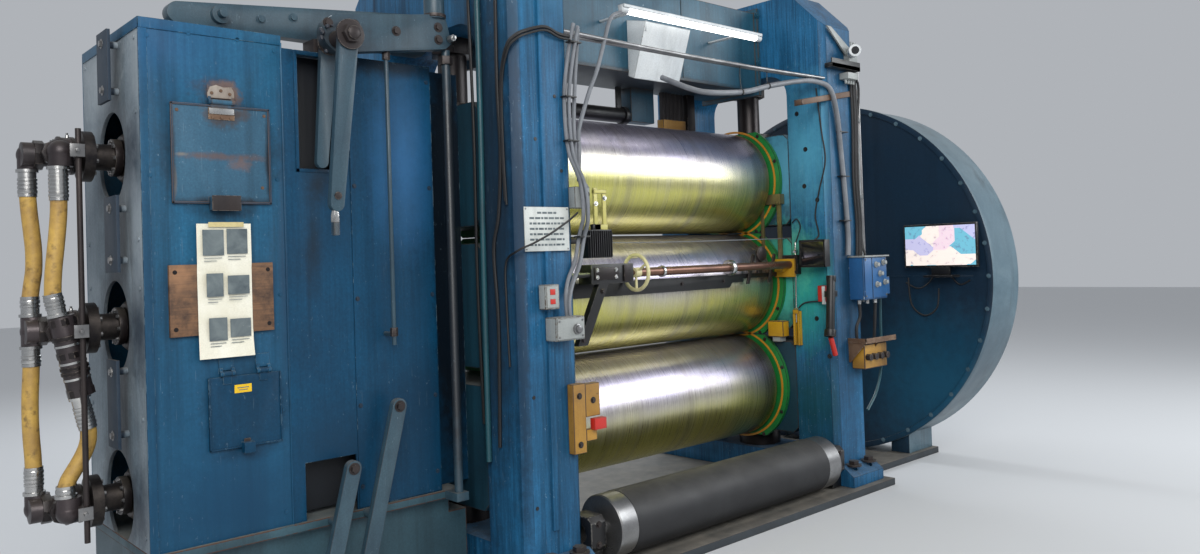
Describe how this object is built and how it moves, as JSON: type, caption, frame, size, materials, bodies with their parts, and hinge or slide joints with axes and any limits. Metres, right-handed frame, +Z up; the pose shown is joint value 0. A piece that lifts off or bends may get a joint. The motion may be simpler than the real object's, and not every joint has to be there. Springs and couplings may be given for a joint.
{
  "type": "three-roll calender stand",
  "caption": "Upright three-roll calender stand with two cast housings, gear casing with hatches, rotary unions with hoses, trimming screw, guide roller and round gear guard.",
  "frame": {"origin": "on the floor, midway between the two housings, straight under the roll axes", "axes": "+X along the rolls towards the gear guard, +Y from front to back, +Z up"},
  "size_m": [6.054, 2.7338, 3.38],
  "materials": {
    "cast_blue": "worn blue machine enamel on castings",
    "panel_blue": "worn blue enamel on sheet steel",
    "pale_panel": "faded pale grey-blue enamel",
    "lever_paint": "oily grey-blue paint over cast iron",
    "guard_blue": "dark navy enamel with a pale rim",
    "box_blue": "blue enclosure enamel",
    "green_guard": "green safety paint with an orange inner edge",
    "yellow_paint": "yellow safety paint",
    "black_paint": "black enamel",
    "cream_enamel": "cream enamel, worn",
    "grey_enamel": "light grey enamel",
    "roll_steel": "ground and polished chilled iron",
    "bare_steel": "bare turned steel",
    "dark_iron": "oily dark cast iron",
    "bronze_bar": "copper-brown bar",
    "plinth_paint": "dull blue-grey paint",
    "board_wood": "raw plywood",
    "hose_yellow": "yellow hose with crimped steel ends",
    "screen_black": "black plastic and glass"
  },
  "bodies": {
    "stand": {"bed_plate": "plinth_paint", "near_housing": "cast_blue", "far_housing": "cast_blue", "cross_beam": "cast_blue", "near_bearing_boxes": "lever_paint", "far_bearing_boxes": "lever_paint", "adjusting_screws": "bare_steel", "casing_plinth": "plinth_paint", "casing_front": "panel_blue", "casing_side": "pale_panel", "casing_back": "panel_blue", "casing_top": "panel_blue", "casing_inner_wall": "panel_blue", "wood_board": "board_wood", "link_guard": "panel_blue", "rear_lever_arm": "lever_paint", "front_lever_arm": "lever_paint", "lever_shaft": "dark_iron", "lever_links": "lever_paint", "lower_links": "lever_paint", "top_union": "dark_iron", "middle_union": "dark_iron", "bottom_union": "dark_iron", "union_hoses": "hose_yellow", "anti_rotation_rod": "black_paint", "roll_end_guards": "green_guard", "knife_rail": "black_paint", "knife_block": "black_paint", "control_box": "box_blue", "button_boxes": "grey_enamel", "flood_lamps": "black_paint", "tube_lamp": "grey_enamel", "vent_box": "grey_enamel", "conduits": "grey_enamel", "gear_guard": "guard_blue", "monitor": "screen_black", "guide_roller_bearings": "black_paint"},
    "top_roll_body": {"top_roll": "roll_steel"},
    "middle_roll_body": {"middle_roll": "roll_steel"},
    "bottom_roll_body": {"bottom_roll": "roll_steel"},
    "guide_roller_body": {"guide_roller": "bare_steel"},
    "knife_screw_body": {"knife_screw": "bronze_bar", "handwheel": "cream_enamel"},
    "upper_hatch_body": {"upper_hatch": "panel_blue"},
    "lower_hatch_body": {"lower_hatch": "panel_blue"}
  },
  "joints": [
    {"name": "middle_roll_spin", "type": "hinge", "parent": "stand", "child": "middle_roll_body", "pos_m": [0, 0, 1.39], "axis": [1, 0, 0], "continuous": true},
    {"name": "top_roll_spin", "type": "hinge", "parent": "stand", "child": "top_roll_body", "pos_m": [0, 0, 2.109], "axis": [1, 0, 0], "continuous": true},
    {"name": "bottom_roll_spin", "type": "hinge", "parent": "stand", "child": "bottom_roll_body", "pos_m": [0, 0, 0.671], "axis": [1, 0, 0], "continuous": true},
    {"name": "guide_roller_spin", "type": "hinge", "parent": "stand", "child": "guide_roller_body", "pos_m": [0, -0.745, 0.225], "axis": [1, 0, 0], "continuous": true},
    {"name": "knife_screw_spin", "type": "hinge", "parent": "stand", "child": "knife_screw_body", "pos_m": [0, -0.487, 1.518], "axis": [1, 0, 0], "continuous": true},
    {"name": "upper_hatch_hinge", "type": "hinge", "parent": "stand", "child": "upper_hatch_body", "pos_m": [-2.727, -0.4175, 2.313], "axis": [-1, 0, 0], "range_deg": [0, 100]},
    {"name": "lower_hatch_hinge", "type": "hinge", "parent": "stand", "child": "lower_hatch_body", "pos_m": [-2.655, -0.4175, 1.183], "axis": [-1, 0, 0], "range_deg": [0, 100]}
  ],
  "couplings": [
    {"joint": "top_roll_spin", "follows": "middle_roll_spin", "ratio": -1},
    {"joint": "bottom_roll_spin", "follows": "middle_roll_spin", "ratio": -1}
  ]
}
